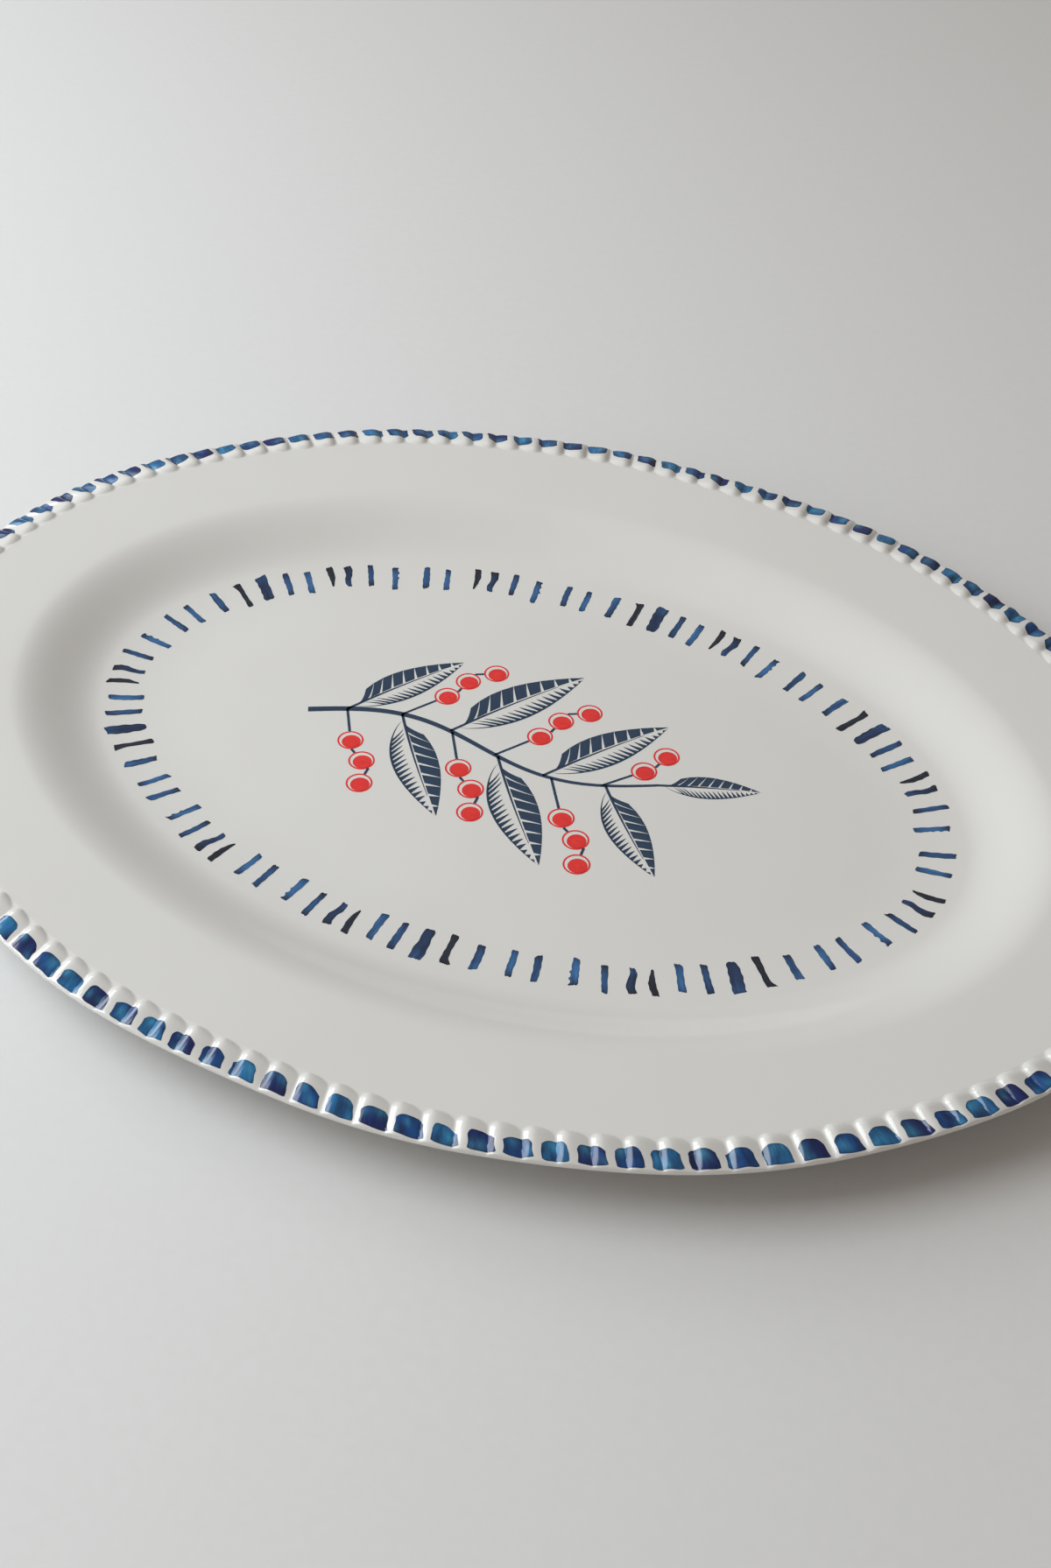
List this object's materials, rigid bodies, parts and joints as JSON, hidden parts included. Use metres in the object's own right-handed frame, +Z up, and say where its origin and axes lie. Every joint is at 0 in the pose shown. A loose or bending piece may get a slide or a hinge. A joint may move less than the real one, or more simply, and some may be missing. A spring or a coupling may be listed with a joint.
{
  "type": "oval serving platter",
  "caption": "Oval serving platter with a flat well, a broad rim, a lobed blue and white edge and a brushed dash border.",
  "frame": {"origin": "on the table, under the middle of the platter", "axes": "+X along the long axis of the oval, +Y along its short axis, +Z up out of the well"},
  "size_m": [0.4608, 0.3506, 0.023],
  "materials": {
    "white_melamine": "gloss",
    "centre_print": "gloss print under clear resin",
    "edge_print": "gloss print under clear resin"
  },
  "bodies": {
    "root": {"platter_body": "white_melamine", "centre_decor_foil": "centre_print", "edge_decor_foil": "edge_print"}
  },
  "joints": []
}
